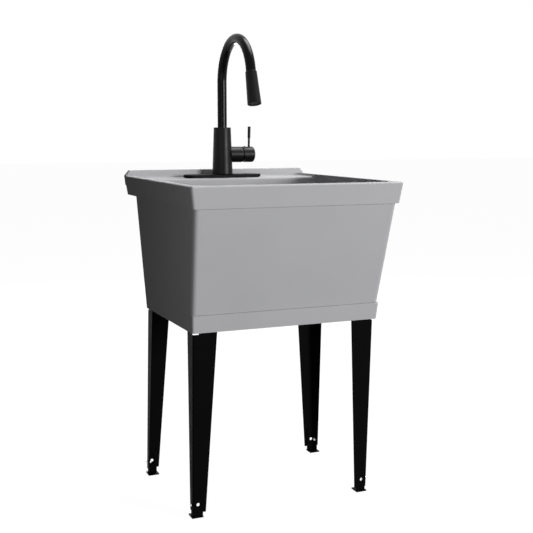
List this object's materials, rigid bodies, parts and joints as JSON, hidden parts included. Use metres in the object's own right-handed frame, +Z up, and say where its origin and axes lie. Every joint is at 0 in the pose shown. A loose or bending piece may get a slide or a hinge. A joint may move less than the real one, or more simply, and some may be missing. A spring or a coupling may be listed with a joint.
{
  "type": "utility laundry sink",
  "caption": "Freestanding grey moulded laundry tub on four folded black steel legs with levelling feet, with a matt black pull-down tap on its rear deck",
  "frame": {"origin": "on the floor, below the middle of the rim", "axes": "+Z up, +Y to the rear (the wall), +X to the right seen from the front"},
  "size_m": [0.572, 0.635, 1.2635],
  "materials": {
    "tub_plastic": "moulded mid-grey plastic, fine satin grain",
    "leg_steel": "black powder coat on folded sheet steel",
    "tap_black": "matt black coating over brass",
    "zinc_steel": "bright zinc plate",
    "stainless": "brushed stainless steel",
    "brass": "turned brass",
    "white_plastic": "moulded white plastic",
    "black_rubber": "soft black rubber"
  },
  "bodies": {
    "frame": {"tub": "tub_plastic", "drain_flange": "stainless", "drain_gasket": "black_rubber", "drain_locknut": "white_plastic", "drain_tailpiece": "white_plastic", "tailpiece_nut": "white_plastic", "deck_plate_gasket": "black_rubber", "deck_plate": "tap_black", "tap_body": "tap_black", "mounting_shank": "brass", "mounting_washer": "stainless", "mounting_nut": "brass", "cold_inlet": "brass", "hot_inlet": "brass", "valve_cartridge": "white_plastic", "valve_bonnet": "tap_black", "foot_bolt_front_left": "zinc_steel", "foot_bolt_front_right": "zinc_steel", "foot_bolt_rear_left": "zinc_steel", "foot_bolt_rear_right": "zinc_steel", "foot_nut_front_left": "zinc_steel", "foot_nut_front_right": "zinc_steel", "foot_nut_rear_left": "zinc_steel", "foot_nut_rear_right": "zinc_steel", "leg_front_left": "leg_steel", "leg_front_right": "leg_steel", "leg_rear_left": "leg_steel", "leg_rear_right": "leg_steel"},
    "foot_front_left": {"foot_front_left": "leg_steel"},
    "foot_front_right": {"foot_front_right": "leg_steel"},
    "foot_rear_left": {"foot_rear_left": "leg_steel"},
    "foot_rear_right": {"foot_rear_right": "leg_steel"},
    "carrier": {"valve_carrier": "white_plastic"},
    "handle": {"valve_stem": "brass", "handle_hub": "tap_black", "handle_lever": "tap_black", "handle_plug": "tap_black"},
    "spout": {"spout_tube": "tap_black", "spray_dock": "white_plastic"},
    "spray": {"spray_shell": "tap_black", "spray_neck": "white_plastic", "spray_face": "black_rubber"},
    "stopper": {"drain_stopper": "black_rubber"}
  },
  "joints": [
    {"name": "level_front_left", "type": "slide", "parent": "frame", "child": "foot_front_left", "axis": [0.002, 0.0446, -0.999], "range_m": [-0.008, 0.018]},
    {"name": "level_front_right", "type": "slide", "parent": "frame", "child": "foot_front_right", "axis": [-0.002, 0.0446, -0.999], "range_m": [-0.008, 0.018]},
    {"name": "level_rear_left", "type": "slide", "parent": "frame", "child": "foot_rear_left", "axis": [-0.0162, 0.0304, -0.9994], "range_m": [-0.008, 0.018]},
    {"name": "level_rear_right", "type": "slide", "parent": "frame", "child": "foot_rear_right", "axis": [0.0162, 0.0304, -0.9994], "range_m": [-0.008, 0.018]},
    {"name": "temperature_turn", "type": "hinge", "parent": "frame", "child": "carrier", "pos_m": [0.06, 0.257, 0.9221], "axis": [1, 0, 0], "range_deg": [-45, 45]},
    {"name": "flow_tilt", "type": "hinge", "parent": "carrier", "child": "handle", "pos_m": [0.06, 0.257, 0.9221], "axis": [0, 1, 0], "range_deg": [0, 15]},
    {"name": "spout_swivel", "type": "hinge", "parent": "frame", "child": "spout", "pos_m": [0, 0.257, 1], "axis": [0, 0, 1], "range_deg": [-180, 180]},
    {"name": "spray_pull", "type": "slide", "parent": "spout", "child": "spray", "axis": [0, -0.2723, -0.9622], "range_m": [0, 0.2]},
    {"name": "stopper_lift", "type": "slide", "parent": "frame", "child": "stopper", "axis": [0, 0, 1], "range_m": [0, 0.15]}
  ]
}
